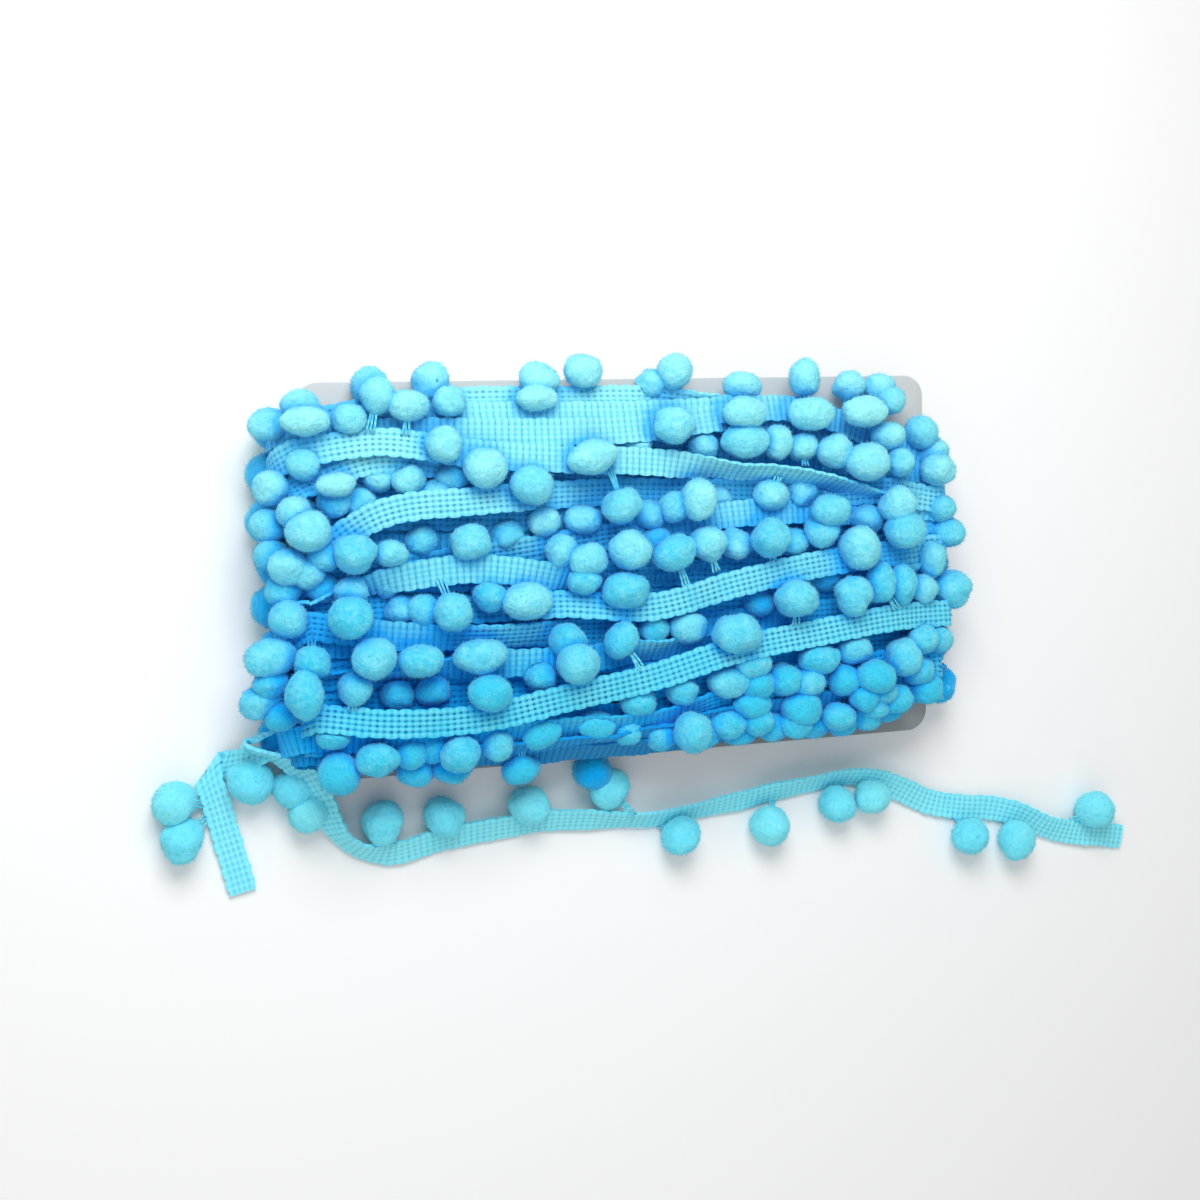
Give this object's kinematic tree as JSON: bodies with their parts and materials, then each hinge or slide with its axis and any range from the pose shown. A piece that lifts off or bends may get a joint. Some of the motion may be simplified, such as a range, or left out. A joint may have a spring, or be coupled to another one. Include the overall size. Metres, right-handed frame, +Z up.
{
  "type": "pompom fringe trim wound on a card",
  "caption": "Woven tape trim with soft pompoms along one edge, wound lengthwise on a flat card, its two ends lying loose in front.",
  "frame": {"origin": "middle of the flat spot that the winding rests on", "axes": "+X along the card's long side, +Y along its short side away from the loose ends, +Z up through the card"},
  "size_m": [0.2468, 0.1263, 0.0343],
  "materials": {
    "trim": "matt woven tape and soft brushed pompoms",
    "card": "smooth grey board"
  },
  "bodies": {
    "root": {"wound_trim": "trim", "long_end": "trim", "short_end": "trim", "winding_card": "card"}
  },
  "joints": []
}
